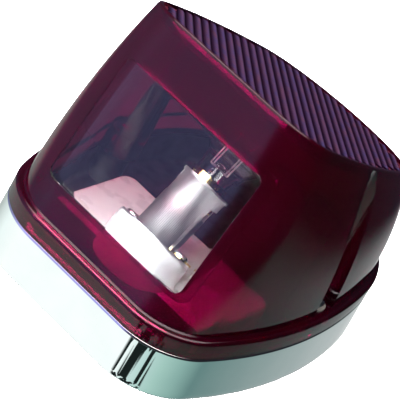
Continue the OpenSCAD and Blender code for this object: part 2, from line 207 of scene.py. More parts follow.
def make_sky():
    """The studio by direction: azimuth runs from -Y towards +X, height is the direction's Z."""
    world = bpy.data.worlds.new("studio_sky")
    scene.world = world
    world.use_nodes = True
    tree = world.node_tree
    tree.nodes.clear()
    coordinates = new_node(tree, "ShaderNodeTexCoord")
    split = new_node(tree, "ShaderNodeSeparateXYZ")
    tree.links.new(coordinates.outputs["Generated"], split.inputs[0])
    x, y, z = split.outputs
    azimuth = math_node(tree, "ARCTAN2", x, math_node(tree, "MULTIPLY", y, -1.0))
    azimuth = math_node(tree, "MULTIPLY", azimuth, 180.0 / math.pi)
    low = azimuth_ramp(tree, azimuth, LOW_ROOM)
    folds = new_node(tree, "ShaderNodeTexNoise")
    folds.inputs["Scale"].default_value = 8.0
    folds.inputs["Detail"].default_value = 1.5
    folds.inputs["Distortion"].default_value = 0.6
    squeeze = new_node(tree, "ShaderNodeMapping")
    squeeze.inputs["Scale"].default_value = (1.0, 1.0, 0.7)
    tree.links.new(coordinates.outputs["Generated"], squeeze.inputs["Vector"])
    tree.links.new(squeeze.outputs["Vector"], folds.inputs["Vector"])
    fold_shape = window_of(tree, folds.outputs["Fac"], FOLD_LEVEL, 2.0, 0.03)
    fold_zone = math_node(tree, "MULTIPLY", window_of(tree, azimuth, *FOLD_AZIMUTH, 4),
                          window_of(tree, z, *FOLD_Z, 0.06))
    low = blend_colours(tree, math_node(tree, "MULTIPLY", fold_shape, fold_zone), low, FOLD_COLOUR)
    lift = window_of(tree, z, HORIZON_Z, PAST_TOP, 0.1)
    room = blend_colours(tree, lift, low, azimuth_ramp(tree, azimuth, HORIZON))
    top = window_of(tree, z, CEILING_Z, PAST_TOP, 0.14)
    room = blend_colours(tree, top, room, (OVERHEAD, OVERHEAD, OVERHEAD))
    background = new_node(tree, "ShaderNodeBackground")
    tree.links.new(room, background.inputs["Color"])
    output = new_node(tree, "ShaderNodeOutputWorld")
    tree.links.new(background.outputs[0], output.inputs["Surface"])


make_sky()
scene.view_settings.view_transform = "Standard"
print("sky stops:", len(LOW_ROOM), "low,", len(HORIZON), "round the horizon")

# %% [markdown]
# ## Lights
#
# Two soft square lights do what the sky can't: a strong one shines in through the clear window and lights the inside of
# the base, and a weak one lifts the back. Both are hidden from gloss, or the chrome would show their square shapes.


# %% Lights
def softbox(name, azimuth, elevation, distance, size, watts):
    """A square light turned to the lamp's middle. Gloss doesn't mirror it, so it leaves no square patch."""
    data = bpy.data.lights.new(name, "AREA")
    data.size = size
    data.energy = watts
    light = bpy.data.objects.new(name, data)
    a, e = math.radians(azimuth), math.radians(elevation)
    aim = Vector((math.sin(a) * math.cos(e), -math.cos(a) * math.cos(e), math.sin(e)))
    light.location = Vector((0, 0, 40 * MM)) + aim * distance
    light.rotation_euler = aim.to_track_quat("Z", "Y").to_euler()
    light.visible_glossy = False
    light.visible_camera = False
    scene.collection.objects.link(light)
    return light


for light in (softbox("window_key", -20, 58, 0.8, 0.85, 150.0), softbox("back_fill", -150, 55, 1.2, 0.8, 4.0)):
    print(light.name, [round(v, 2) for v in light.location], "m,", light.data.energy, "W")

# %% [markdown]
# ## The floor
#
# A plain pale sheet. It is hidden from gloss and from light that passes through the lens, so that chrome and acrylic
# show the painted room and not an endless white sheet.


# %% Floor
def make_floor(size=6.0):
    """A wide square sheet just under the lamp's back."""
    half = size / 2
    mesh = bpy.data.meshes.new("studio_floor")
    mesh.from_pydata([(-half, -half, 0), (half, -half, 0), (half, half, 0), (-half, half, 0)], [], [(0, 1, 2, 3)])
    floor = bpy.data.objects.new("studio_floor", mesh)
    floor.location.z = cad_box[0].z - 0.02 * MM
    scene.collection.objects.link(floor)
    material = bpy.data.materials.new("floor_paper")
    material.use_nodes = True
    shader = material.node_tree.nodes["Principled BSDF"]
    shader.inputs["Base Color"].default_value = (0.96, 0.96, 0.96, 1.0)
    shader.inputs["Roughness"].default_value = 0.9
    mesh.materials.append(material)
    floor.visible_glossy = False
    floor.visible_transmission = False
    return floor


print("floor at", round(make_floor().location.z * 1000, 2), "mm")

# %% [markdown]
# ## Materials
#
# Each finish is a short function. All of them vary a little over the surface: a moulding is never perfectly even, and
# plate has faint hairlines. The variation is read from Object coordinates, which are metres in the lamp's own frame.
# Acrylic and glass let light through a wall that is really there, so their colour deepens where the wall is thick.


# %% Material helpers
def shader_of(name):
    """A new node material. Returns it with its tree and its Principled shader."""
    material = bpy.data.materials.new(name)
    material.use_nodes = True
    tree = material.node_tree
    return material, tree, tree.nodes["Principled BSDF"]


def noise(tree, scale, detail=3.0, stretch=(1.0, 1.0, 1.0)):
    """Noise over the object, in waves per metre; stretch squeezes it along an axis."""
    coordinates = new_node(tree, "ShaderNodeTexCoord")
    mapping = new_node(tree, "ShaderNodeMapping")
    mapping.inputs["Scale"].default_value = stretch
    texture = new_node(tree, "ShaderNodeTexNoise")
    texture.inputs["Scale"].default_value = scale
    texture.inputs["Detail"].default_value = detail
    tree.links.new(coordinates.outputs["Object"], mapping.inputs["Vector"])
    tree.links.new(mapping.outputs["Vector"], texture.inputs["Vector"])
    return texture.outputs["Fac"]


def spread(tree, value, low, high):
    """Maps 0.3..0.7 of a noise to low..high."""
    node = new_node(tree, "ShaderNodeMapRange")
    node.inputs["From Min"].default_value = 0.3
    node.inputs["From Max"].default_value = 0.7
    node.inputs["To Min"].default_value = low
    node.inputs["To Max"].default_value = high
    tree.links.new(value, node.inputs["Value"])
    return node.outputs["Result"]


def two_tone(tree, value, dark, light):
    """A colour between two tones."""
    ramp = new_node(tree, "ShaderNodeValToRGB")
    ramp.color_ramp.elements[0].position = 0.3
    ramp.color_ramp.elements[1].position = 0.7
    ramp.color_ramp.elements[0].color = (*dark, 1.0)
    ramp.color_ramp.elements[1].color = (*light, 1.0)
    tree.links.new(value, ramp.inputs["Fac"])
    return ramp.outputs["Color"]


def bump(tree, shader, height, strength, depth):
    """Gives the shader a bump of the given depth in metres."""
    node = new_node(tree, "ShaderNodeBump")
    node.inputs["Strength"].default_value = strength
    node.inputs["Distance"].default_value = depth
    tree.links.new(height, node.inputs["Height"])
    tree.links.new(node.outputs["Normal"], shader.inputs["Normal"])


def metal(name, dark, light, rough, scale=400.0, stretch=(1.0, 1.0, 1.0), grain=0.1, depth=0.02 * MM):
    """A metal whose tone and gloss vary over the surface."""
    material, tree, shader = shader_of(name)
    pattern = noise(tree, scale, 4.0, stretch)
    shader.inputs["Metallic"].default_value = 1.0
    tree.links.new(two_tone(tree, pattern, dark, light), shader.inputs["Base Color"])
    tree.links.new(spread(tree, pattern, rough[0], rough[1]), shader.inputs["Roughness"])
    bump(tree, shader, pattern, grain, depth)
    return material


def plastic(name, dark, light, rough, scale=250.0, grain=0.2, depth=0.03 * MM, specular=0.5):
    """An opaque moulding, rubber or resin."""
    material, tree, shader = shader_of(name)
    pattern = noise(tree, scale, 5.0)
    tree.links.new(two_tone(tree, pattern, dark, light), shader.inputs["Base Color"])
    tree.links.new(spread(tree, pattern, rough[0], rough[1]), shader.inputs["Roughness"])
    shader.inputs["Specular IOR Level"].default_value = specular
    bump(tree, shader, pattern, grain, depth)
    return material


def acrylic(name, dark, light, rough, ior=1.49, grain=0.05, haze=0.0):
    """A clear or tinted moulding with real thickness, so that light bends in it."""
    material, tree, shader = shader_of(name)
    flow = noise(tree, 60.0, 2.0)
    shader.inputs["Transmission Weight"].default_value = 1.0 - haze
    shader.inputs["IOR"].default_value = ior
    tree.links.new(two_tone(tree, flow, dark, light), shader.inputs["Base Color"])
    tree.links.new(spread(tree, noise(tree, 900.0), rough[0], rough[1]), shader.inputs["Roughness"])
    bump(tree, shader, flow, grain, 0.2 * MM)
    return material


print("material helpers ready")

# %% [markdown]
# ## Finishes
#
# One line for each finish of the real lamp. The red is very dark in itself, because light crosses it twice before it
# comes back, and a little haze keeps it from turning black. The base is chrome outside, and inside it has painted light
# and painted shade: a white where the light through the window falls near the lamp holder, and a dark grey elsewhere.

# %% Finishes
CHROME = metal("chrome_plate", (0.92, 0.95, 0.95), (0.97, 0.985, 0.98), (0.01, 0.03), 90.0,
               grain=0.04, depth=0.1 * MM)
# Painted light: white where the light through the window falls. Painted shade: dark grey on the rest of the inside.
PAINTED_LIGHT_INSIDE = plastic("base_inside_painted_light", (0.86, 0.88, 0.88), (0.93, 0.95, 0.94), (0.22, 0.4), 160.0, 0.1)
PAINTED_SHADE_INSIDE = metal("base_floor_painted_shade", (0.10, 0.11, 0.11), (0.2, 0.22, 0.22), (0.35, 0.55), 160.0)
RED = acrylic("red_acrylic", (0.075, 0.0003, 0.012), (0.115, 0.0006, 0.022), (0.01, 0.04), haze=0.022)
CLEAR = acrylic("clear_acrylic", (0.95, 0.97, 0.97), (0.98, 0.99, 0.99), (0.0, 0.02))
GLASS = acrylic("lamp_glass", (0.97, 0.98, 0.98), (0.99, 0.995, 0.995), (0.0, 0.01))
RUBBER = plastic("black_rubber", (0.012, 0.012, 0.012), (0.03, 0.03, 0.03), (0.55, 0.75))
FOAM = plastic("foam_rubber", (0.01, 0.01, 0.01), (0.035, 0.035, 0.035), (0.8, 0.95), 1500.0, 0.5, 0.1 * MM)
FIBRE = plastic("black_fibre", (0.02, 0.018, 0.016), (0.05, 0.045, 0.04), (0.6, 0.8), 1200.0)
PHENOLIC = plastic("brown_phenolic", (0.09, 0.035, 0.015), (0.2, 0.09, 0.04), (0.35, 0.55), 900.0)
BLACK_GLASS = plastic("black_vitrite", (0.008, 0.008, 0.01), (0.02, 0.02, 0.025), (0.08, 0.2))
BRASS = metal("brass", (0.62, 0.44, 0.17), (0.83, 0.64, 0.3), (0.12, 0.3), 500.0)
STEEL = metal("bright_steel", (0.90, 0.92, 0.92), (0.97, 0.98, 0.98), (0.36, 0.5), 300.0, (1.0, 1.0, 0.15))
SPRING_STEEL = metal("spring_wire", (0.4, 0.41, 0.43), (0.7, 0.71, 0.72), (0.2, 0.35), 1500.0)
TINNED = metal("tinned_metal", (0.55, 0.55, 0.53), (0.8, 0.8, 0.78), (0.25, 0.45), 700.0)
TUNGSTEN = metal("tungsten", (0.16, 0.16, 0.17), (0.4, 0.4, 0.42), (0.3, 0.5), 2500.0)
SCREW_CHROME = metal("screw_chrome", (0.82, 0.84, 0.85), (0.94, 0.95, 0.95), (0.05, 0.12), 600.0)
# Dark red moulding, painted near black as painted shade in the gaps between prisms.
REFLEX_BED_PAINTED_SHADE = plastic("reflex_bed_painted_shade", (0.004, 0.0, 0.001), (0.03, 0.0, 0.004), (0.4, 0.6), 1800.0, 0.3)
print("materials:", len(bpy.data.materials))

# %% [markdown]
# ## The lamp's outline
#
# Seen from above, the lamp is an arch: a flat edge under the window, a corner arc, a long side arc and a nose arc.
# The arcs meet smoothly, so one formula gives the radii. Moving the outline inwards only makes each radius smaller,
# and every shell below is a stack of such outlines.

# %% Arch outline
LAMP_W, LAMP_L = 112.0, 150.0
CORNER_R, CORNER_A, SIDE_A = 27.0, -18.0, 14.0
BASE_H, SKIRT_H, SKIRT_STEP = 18.4, 7.4, 3.0
SKIRT_Z = BASE_H + SKIRT_H
FACE_W, FACE_CORNER_R = 83.2, 17.0
FACE_NEAR, FACE_FAR = np.array([-51.0, 105.2]), np.array([71.0, 54.3])
FOOT_NEAR = np.array([-LAMP_L / 2 + SKIRT_STEP, SKIRT_Z])
FOOT_FAR = np.array([LAMP_L / 2 - SKIRT_STEP, SKIRT_Z])
SWELL = 2.2
EDGE_STEPS, CORNER_STEPS, SIDE_STEPS, NOSE_STEPS = 12, 22, 20, 34


def arc(centre, radius, a0, a1, steps):
    """Points of an arc between two angles in degrees, without its first point."""
    angle = np.radians(np.linspace(a0, a1, steps + 1)[1:])
    return centre + radius * np.stack([np.cos(angle), np.sin(angle)], 1)


def arch(w, l, rc, a1=CORNER_A, a2=SIDE_A):
    """Closed arch outline, anticlockwise, in millimetres, centred on its own box."""
    c1, s1, c2, s2 = (f(math.radians(a)) for a in (a1, a2) for f in (math.cos, math.sin))
    k = (1 - s2) / c2
    side_r = (l - rc * (1 + s1) - k * w / 2) / (s2 - s1 - k * (1 - c2))
    nose_r = (w / 2 - side_r * (1 - c2)) / c2
    corner = np.array([w / 2 - rc * c1 - side_r * (1 - c1), rc - l / 2])
    side = corner + (rc - side_r) * np.array([c1, s1])
    nose = side + (side_r - nose_r) * np.array([c2, s2])
    edge = np.stack([np.linspace(0, corner[0], EDGE_STEPS + 1), np.full(EDGE_STEPS + 1, -l / 2)], 1)
    half = np.concatenate([
        edge,
        arc(corner, rc, -90, a1, CORNER_STEPS),
        arc(side, side_r, a1, a2, SIDE_STEPS),
        arc(nose, nose_r, a2, 90, NOSE_STEPS),
    ])
    return np.concatenate([half, half[-2:0:-1] * (-1, 1)])


def level_ring(z, inset):
    """The joint's outline at height z, moved inwards by inset."""
    flat = arch(LAMP_W - 2 * inset, LAMP_L - 2 * inset, CORNER_R - inset)
    return np.column_stack([flat, np.full(len(flat), z)])


def section_ring(t, inset, sink=0.0):
    """A cut through the lens: t is 0 at its foot and 1 at its face; sink lowers it along its own normal."""
    swell = 4 * SWELL * t * (1 - t)
    near = FOOT_NEAR * (1 - t) + FACE_NEAR * t
    far = FOOT_FAR * (1 - t) + FACE_FAR * t + (swell, 0)
    run = far - near
    length = np.hypot(*run)
    w = (LAMP_W - 2 * SKIRT_STEP) * (1 - t) + FACE_W * t + 2 * swell
    rc = (CORNER_R - SKIRT_STEP) * (1 - t) + FACE_CORNER_R * t
    a1, a2 = CORNER_A * (1 - t) - 5 * t, SIDE_A * (1 - t) + 10 * t
    flat = arch(w - 2 * inset, length - 2 * inset, rc - inset, a1, a2)
    along, normal = run / length, np.array([-run[1], run[0]]) / length
    place = (near + far) / 2 + flat[:, 1:2] * along - sink * normal
    return np.column_stack([flat[:, 0], place])


print("outline points:", len(arch(LAMP_W, LAMP_L, CORNER_R)))

# %% [markdown]
# ## Stacking outlines into shells
#
# A ring of points joined to the next ring makes a band of faces. A list of rings that runs up the outside, over the
# rim and down the inside makes a wall with real thickness, which tinted acrylic needs: light bends and darkens
# between its two surfaces.


# %% Shell helpers
def object_from(name, verts, faces):
    """A mesh object from millimetre points, with its normals pointing out."""
    mesh = bpy.data.meshes.new(name)
    mesh.from_pydata([tuple(v) for v in np.asarray(verts) * MM], [], faces)
    made = bpy.data.objects.new(name, mesh)
    scene.collection.objects.link(made)
    shape = bmesh.new()
    shape.from_mesh(mesh)
    bmesh.ops.recalc_face_normals(shape, faces=shape.faces)
    shape.to_mesh(mesh)
    shape.free()
    return made


def loft(name, rings, closed=False):
    """Bands between rings; the ends are capped, or joined when the stack is closed."""
    count = len(rings[0])
    verts = np.concatenate(rings)
    faces = []
    bands = len(rings) if closed else len(rings) - 1
    for band in range(bands):
        low, high = band * count, (band + 1) % len(rings) * count
        for i in range(count):
            j = (i + 1) % count
            faces.append((low + i, low + j, high + j, high + i))
    if not closed:
        faces.append(tuple(range(count))[::-1])
        faces.append(tuple(range(len(verts) - count, len(verts))))
    return object_from(name, verts, faces)


def cut(target, tool, operation="DIFFERENCE", keep_tool=False):
    """One exact boolean, applied at once; the tool is removed."""
    modifier = target.modifiers.new("cut", "BOOLEAN")
    modifier.operation = operation
    modifier.solver = "EXACT"
    modifier.object = tool
    graph = bpy.context.evaluated_depsgraph_get()
    done = bpy.data.meshes.new_from_object(target.evaluated_get(graph), depsgraph=graph)
    target.modifiers.clear()
    old, target.data = target.data, done
    bpy.data.meshes.remove(old)
    if not keep_tool:
        bpy.data.objects.remove(tool)
    return target


def soften(made, degrees=28.0):
    """Smooth shading with creases kept where faces meet at more than the angle."""
    made.data.shade_smooth()
    made.data.set_sharp_from_angle(angle=math.radians(degrees))
    return made


def finish_piece(made, material, body, slot, *stands_for):
    """Material, body and the CAD nodes that the piece stands for; slot is not used."""
    made.data.materials.clear()
    made.data.materials.append(material)
    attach(made, body)
    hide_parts(*stands_for)
    shape = bmesh.new()
    shape.from_mesh(made.data)
    open_edges = sum(len(edge.link_faces) != 2 for edge in shape.edges)
    print(f"{made.name}: {len(shape.faces)} faces, {open_edges} open edges, {shape.calc_volume() * 1e6:.2f} cm3")
    shape.free()
    return made


def disc_rings(cx, cy, profile, steps=48):
    """Rings about an upright axis at (cx, cy); profile is a list of (radius, z)."""
    angle = np.linspace(0, 2 * math.pi, steps, endpoint=False)
    return [np.column_stack([cx + r * np.cos(angle), cy + r * np.sin(angle), np.full(steps, z)]) for r, z in profile]


def quarter(c, r, a0, a1, steps=6):
    """Points of an arc as (offset, height) pairs."""
    return [(c[0] + r * math.cos(math.radians(a)), c[1] + r * math.sin(math.radians(a)))
            for a in np.linspace(a0, a1, steps + 1)]


print("shell helpers ready")

# %% [markdown]
# ## The red lens
#
# The lens is one moulding: a flange with a rounded shoulder, walls that lean in and swell slightly, and a lip around
# the face. It could be one closed stack of rings, but then the pockets' walls would lie exactly on the shell's own
# faces, and booleans fail on faces that coincide. So the outside is one solid stack, and the hollow is a second stack
# that already has the pockets' columns taken out of it. Cutting the hollow from the outside leaves even walls.
# The seat of the face, the pockets, the screw holes and the window opening are cut last, as cores do in the mould.

# %% Lens
LENS_WALL, TOP_T = 2.6, 3.4
LIP, LIP_DEPTH, LEDGE = 1.6, 1.8, 4.0
SCREW_X, SCREW_Y, POCKET_R, POCKET_WALL = 47.5, 2.0, 6.0, 2.4
WALL_STEPS = 26
WINDOW_W, WINDOW_H, WINDOW_R, WINDOW_Z = 64.4, 50.0, 3.0, 61.6
HOLE_R = 2.2


def lens_outer_rings():
    """Outside of the lens from the foot of the flange to the rounded edge of the face."""
    shoulder, edge, toe = 1.4, 0.9, 0.5
    rings = [level_ring(BASE_H, 0.3), level_ring(BASE_H + 0.3, 0.0)]
    rings += [level_ring(z, inset) for inset, z in
              quarter((shoulder, SKIRT_Z - shoulder), shoulder, 180, 90, 8)]
    rings += [level_ring(SKIRT_Z, SKIRT_STEP - toe)]
    rings += [section_ring(t, 0.0) for t in np.linspace(0.006, 0.985, WALL_STEPS)]
    rings += [section_ring(1.0, edge - math.cos(math.radians(a)) * edge, edge - math.sin(math.radians(a)) * edge)
              for a in np.linspace(0, 90, 6)]
    return rings


def lens_hollow_rings():
    """The space inside the lens, from below the joint up to the underside of the face."""
    rings = [level_ring(BASE_H - 1, SKIRT_STEP + LENS_WALL)]
    rings += [section_ring(t, LENS_WALL) for t in np.linspace(0.0, 0.93, WALL_STEPS)]
    rings += [section_ring(1.0, LENS_WALL + 0.3, TOP_T + 0.3), section_ring(1.0, LENS_WALL + 1.2, TOP_T)]
    return rings


def pocket_tool(name, side, radius, z0, z1, reach=22.0):
    """A column with a round inner side that runs out through the lens wall."""
    turn = np.radians(np.linspace(90, 270, 33))
    outline = [(SCREW_X + radius * math.cos(a), SCREW_Y + radius * math.sin(a)) for a in turn]
    outline = [(SCREW_X + reach, SCREW_Y + radius)] + outline + [(SCREW_X + reach, SCREW_Y - radius)]
    flat = np.array(outline) * (side, 1)
    return loft(name, [np.column_stack([flat, np.full(len(flat), z)]) for z in (z0, z1)])


def window_frame():
    """Centre, up and out directions of the window wall, in millimetres."""
    lean = FACE_NEAR - FOOT_NEAR
    t = (WINDOW_Z - SKIRT_Z) / lean[1]
    centre = FOOT_NEAR + lean * t
    up = lean / np.hypot(*lean)
    return np.array([0, *centre]), np.array([0, *up]), np.array([0, -up[1], up[0]])


def window_tool(name, grow, r, depth0, depth1):
    """A block with rounded corners across the window wall, from depth0 to depth1 along its normal."""
    centre, up, out = window_frame()
    w, h = WINDOW_W / 2 + grow, WINDOW_H / 2 + grow
    outline = []
    for cx, cy, a in ((w - r, -h + r, -90), (w - r, h - r, 0), (-w + r, h - r, 90), (-w + r, -h + r, 180)):
        outline += [(cx + dx, cy + dy) for dx, dy in quarter((0, 0), r, a, a + 90, 8)]
    rings = [np.array([centre + x * np.array([1.0, 0, 0]) + y * up + d * out for x, y in outline])
             for d in (depth0, depth1)]
    return loft(name, rings)


def make_lens():
    """Outside, less the hollow, the seat of the face, the pockets, the screw holes and the window opening."""
    lens = loft("lens_shell", lens_outer_rings())
    hollow = loft("hollow", lens_hollow_rings())
    for side in (-1, 1):
        cut(hollow, pocket_tool("column", side, POCKET_R + POCKET_WALL, BASE_H - 3, FACE_NEAR[1]))
    cut(lens, hollow)
    cut(lens, loft("face_seat", [section_ring(1.0, LEDGE, TOP_T + 1), section_ring(1.0, LEDGE, LIP_DEPTH),
                                 section_ring(1.0, LIP, LIP_DEPTH), section_ring(1.0, LIP, -2.0)]))
    for side in (-1, 1):
        cut(lens, pocket_tool("pocket", side, POCKET_R, SKIRT_Z + 0.01, FACE_NEAR[1]))
        cut(lens, loft("hole", disc_rings(side * SCREW_X, SCREW_Y, [(HOLE_R, BASE_H - 2), (HOLE_R, SKIRT_Z + 2)])))
    cut(lens, window_tool("opening", 0.0, WINDOW_R, -9.0, 4.0))
    return soften(lens)


lens = finish_piece(make_lens(), RED, "root", "red_lens", "lens_body")

# %% [markdown]
# ## The clear window
#
# The window is a separate moulding that lights the number plate. Its plug follows the lens wall, and a thicker frame
# behind it is cemented to the inside of the wall. Both are slices of the same stack of rings, so they follow the
# wall's slight curve, and a small bevel gives the bright line round the edge.


# %% Window
def wall_band(name, inset0, inset1):
    """A closed shell between two insets of the lens wall."""
    outer = [section_ring(t, inset0) for t in np.linspace(0.02, 0.97, WALL_STEPS)]
    inner = [section_ring(t, inset1) for t in np.linspace(0.97, 0.02, WALL_STEPS)]
    return loft(name, outer + inner, closed=True)


def make_window():
    """The plug in the opening, joined to the wider frame behind it, with its edges eased."""
    plug = cut(wall_band("window_clear", 0.06, LENS_WALL + 0.1), window_tool("slice", -0.1, WINDOW_R - 0.1, -12, 4),
               "INTERSECT")
    rim = cut(wall_band("rim", LENS_WALL + 0.05, LENS_WALL + 1.6), window_tool("slice", 2.2, WINDOW_R, -12, 4),
              "INTERSECT")
    cut(plug, rim, "UNION")
    bevel = plug.modifiers.new("edge", "BEVEL")
    bevel.width = 0.35 * MM
    bevel.segments = 2
    bevel.limit_method = "ANGLE"
    bevel.angle_limit = math.radians(50)
    graph = bpy.context.evaluated_depsgraph_get()
    plug.data = bpy.data.meshes.new_from_object(plug.evaluated_get(graph), depsgraph=graph)
    plug.modifiers.clear()
    return soften(plug)


window = finish_piece(make_window(), CLEAR, "root", "clear_lens", "plate_window")

# %% [markdown]
# ## The chromed base
#
# The base is a shallow casting. Its outside is a stack of rings with rounded edges; the inside has a ledge for the
# gasket and a floor. The posts for the lens screws, the rear boss, the raised deck and the leaning pedestal for the
# lamp holder are joined on, and the holes are cut last, exactly where the CAD has them. The deck is the block that
# shows through the window, partly painted white as painted light where the window's light falls, and it has a rounded
# upper edge because a casting never has a sharp one.

# %% Base
BASE_WALL, PAD_T, FLOOR_Z, FLARE = 4.8, 1.5, 4.6, 0.6
FIX_X, FIX_Y, REAR_FIX_Y = 26.0, -16.0, 46.0
DECK_X, DECK_NEAR, DECK_FAR, DECK_R, DECK_Z = 36.3, -62.0, -2.0, 5.0, 16.4
HOLDER_TILT = math.radians(35.0)
HOLDER = np.array([0.0, -35.0, 25.5])
HOLDER_AXIS = np.array([0.0, math.sin(HOLDER_TILT), math.cos(HOLDER_TILT)])
HOLDER_DOWN = np.array([0.0, math.cos(HOLDER_TILT), -math.sin(HOLDER_TILT)])
GROMMET_Y = -44.0
CAST_EDGE, FLOOR_FILLET = 0.9, 3.0
POST_R, BOSS_R, BOSS_H = 6.5, 9.0, 12.0


def holder_rings(profile, steps=64, cx=0.0):
    """Rings about the lamp holder's axis; profile is a list of (radius, distance along the axis)."""
    angle = np.linspace(0, 2 * math.pi, steps, endpoint=False)
    across = np.array([1.0, 0.0, 0.0])
    return [HOLDER + s * HOLDER_AXIS + np.outer(cx + r * np.cos(angle), across)
            + np.outer(r * np.sin(angle), HOLDER_DOWN) for r, s in profile]


def deck_ring(inset, z):
    """The deck's outline at height z, moved inwards by inset."""
    r = DECK_R - inset
    corners = ((DECK_X - DECK_R, DECK_NEAR + DECK_R, -90), (DECK_X - DECK_R, DECK_FAR - DECK_R, 0),
               (DECK_R - DECK_X, DECK_FAR - DECK_R, 90), (DECK_R - DECK_X, DECK_NEAR + DECK_R, 180))
    flat = [point for cx, cy, a in corners for point in quarter((cx, cy), r, a, a + 90, 10)]
    return np.column_stack([np.array(flat), np.full(len(flat), z)])


def make_deck():
    """The raised deck under the holder, with rounded corners and a rounded upper edge."""
    soft = 1.6
    rings = [deck_ring(0.0, PAD_T + 1)]
    rings += [deck_ring(soft - soft * math.cos(math.radians(a)), DECK_Z - soft + soft * math.sin(math.radians(a)))
              for a in np.linspace(0, 90, 7)]
    return loft("deck", rings)


def base_profile():
    """(inset, height) pairs up the outside, over the rim, down the inside and onto the floor."""
    profile = [(2.5, PAD_T), (2.5, 0.0)]
    profile += [(CAST_EDGE - FLARE - CAST_EDGE * math.cos(math.radians(a)),
                 CAST_EDGE + CAST_EDGE * math.sin(math.radians(a))) for a in np.linspace(-90, 0, 8)]
    profile += [(-FLARE + (FLARE - 0.05) * k, CAST_EDGE + (BASE_H - 2.0) * k) for k in np.linspace(0.1, 1.0, 8)]
    profile += [(0.85 - CAST_EDGE * math.cos(math.radians(a)),
                 BASE_H - CAST_EDGE + CAST_EDGE * math.sin(math.radians(a))) for a in np.linspace(12, 90, 7)]
    profile += [(2.6, BASE_H), (2.6, BASE_H - 1.5), (BASE_WALL, BASE_H - 1.5), (BASE_WALL, FLOOR_Z + FLOOR_FILLET)]
    profile += [(BASE_WALL + FLOOR_FILLET - FLOOR_FILLET * math.cos(math.radians(a)),
                 FLOOR_Z + FLOOR_FILLET - FLOOR_FILLET * math.sin(math.radians(a))) for a in np.linspace(15, 90, 6)]
    return profile


def make_pedestal():
    """The hull of a level disc on the floor and a tilted disc under the lamp holder."""
    foot = disc_rings(0.0, GROMMET_Y, [(16.0, PAD_T + 1), (16.0, PAD_T + 4)], 64)
    pedestal = loft("pedestal", foot + holder_rings([(15.5, -4.0), (15.5, 0.0)]))
    shape = bmesh.new()
    shape.from_mesh(pedestal.data)
    hull = bmesh.ops.convex_hull(shape, input=shape.verts)
    inner = [g for g in hull["geom_interior"] if isinstance(g, bmesh.types.BMVert)]
    bmesh.ops.delete(shape, geom=inner, context="VERTS")
    outside = set(hull["geom"])
    bmesh.ops.delete(shape, geom=[f for f in shape.faces if f not in outside], context="FACES_ONLY")
    shape.to_mesh(pedestal.data)
    shape.free()
    return pedestal


def make_base():
    """The shallow casting with everything that stands on its floor, and its holes."""
    base = loft("base_casting", [level_ring(z, inset) for inset, z in base_profile()])
    tools = [loft("post", disc_rings(side * SCREW_X, SCREW_Y, [(POST_R, PAD_T + 1), (POST_R, BASE_H)]))
             for side in (-1, 1)]
    top = PAD_T + 1 + BOSS_H
    dome = [(BOSS_R, PAD_T + 1)] + [(5 + 4 * math.cos(math.radians(a)), top - 4 + 4 * math.sin(math.radians(a)))
                                    for a in np.linspace(0, 90, 8)]
    tools.append(loft("boss", disc_rings(0.0, REAR_FIX_Y, dome)))
    tools.append(make_deck())
    tools.append(make_pedestal())
    for tool in tools:
        cut(base, tool, "UNION")
    holes = [loft("seat", holder_rings([(9.0, -3.0), (9.0, 3.0)])),
             loft("bore", holder_rings([(6.0, -15.0), (6.0, -2.0)])),
             loft("way", disc_rings(0.0, GROMMET_Y, [(6.0, -2.0), (6.0, 16.5)]))]
    holes += [loft("tap", disc_rings(x, y, [(3.0, -2.0), (3.0, FLOOR_Z + 8)]))
              for x, y in ((-FIX_X, FIX_Y), (FIX_X, FIX_Y), (0.0, REAR_FIX_Y))]
    holes += [loft("thread", disc_rings(side * SCREW_X, SCREW_Y, [(2.05, 7.0), (2.05, BASE_H + 2)]))
              for side in (-1, 1)]
    for tool in holes:
        cut(base, tool)
    return soften(base)


base = finish_piece(make_base(), CHROME, "root", "chrome", "base_housing")

# %% [markdown]
# ## Chrome outside, painted light and shade inside
#
# Plating reaches every outside face. Inside, the deck and pedestal faces near the lamp holder, where the light through
# the window falls, get a white that is painted light, and the rest get a dark grey that is painted shade. One mesh can
# hold several materials, and each face names its own. A straight cut across the casting gives the change a clean line,
# and then each face is sorted by where its middle lies.

# %% Painted light and painted shade faces
base.data.materials.append(PAINTED_LIGHT_INSIDE)
base.data.materials.append(PAINTED_SHADE_INSIDE)
painted_light_zone = deck_ring(-0.2, 0.0)[:, :2] * MM
PAINTED_LIGHT_FROM = -45.0
hollow_edge = arch(LAMP_W - 2 * BASE_WALL + 0.4, LAMP_L - 2 * BASE_WALL + 0.4, CORNER_R - BASE_WALL + 0.2) * MM
shape = bmesh.new()
shape.from_mesh(base.data)
bmesh.ops.bisect_plane(shape, geom=[*shape.verts, *shape.edges, *shape.faces], dist=1e-7,
                       plane_co=(0, PAINTED_LIGHT_FROM * MM, 0), plane_no=(0, 1, 0))
shape.to_mesh(base.data)
shape.free()


def is_inside(x, y, outline):
    """True where a point lies inside a closed convex outline that runs anticlockwise."""
    step = np.roll(outline, -1, 0) - outline
    return bool((step[:, 0] * (y - outline[:, 1]) > step[:, 1] * (x - outline[:, 0])).all())


for face in base.data.polygons:
    x, y, z = face.center
    if z < (FLOOR_Z - 0.1) * MM or not is_inside(x, y, hollow_edge):
        continue
    # Painted light where the window's light falls on the deck and pedestal near the holder; painted shade on the rest.
    in_painted_light = y > PAINTED_LIGHT_FROM * MM or z > (DECK_Z + 0.3) * MM
    face.material_index = 1 if in_painted_light and z > (FLOOR_Z + 0.1) * MM and is_inside(x, y, painted_light_zone) else 2
print("faces by finish:", np.bincount([face.material_index for face in base.data.polygons]).tolist())

# %% [markdown]
# ## Pieces that keep their CAD shape
#
# Small turned and pressed parts are already right. Their triangles are loose, so a copy is merged and given smooth
# shading with creases. Each copy then stands for its node.


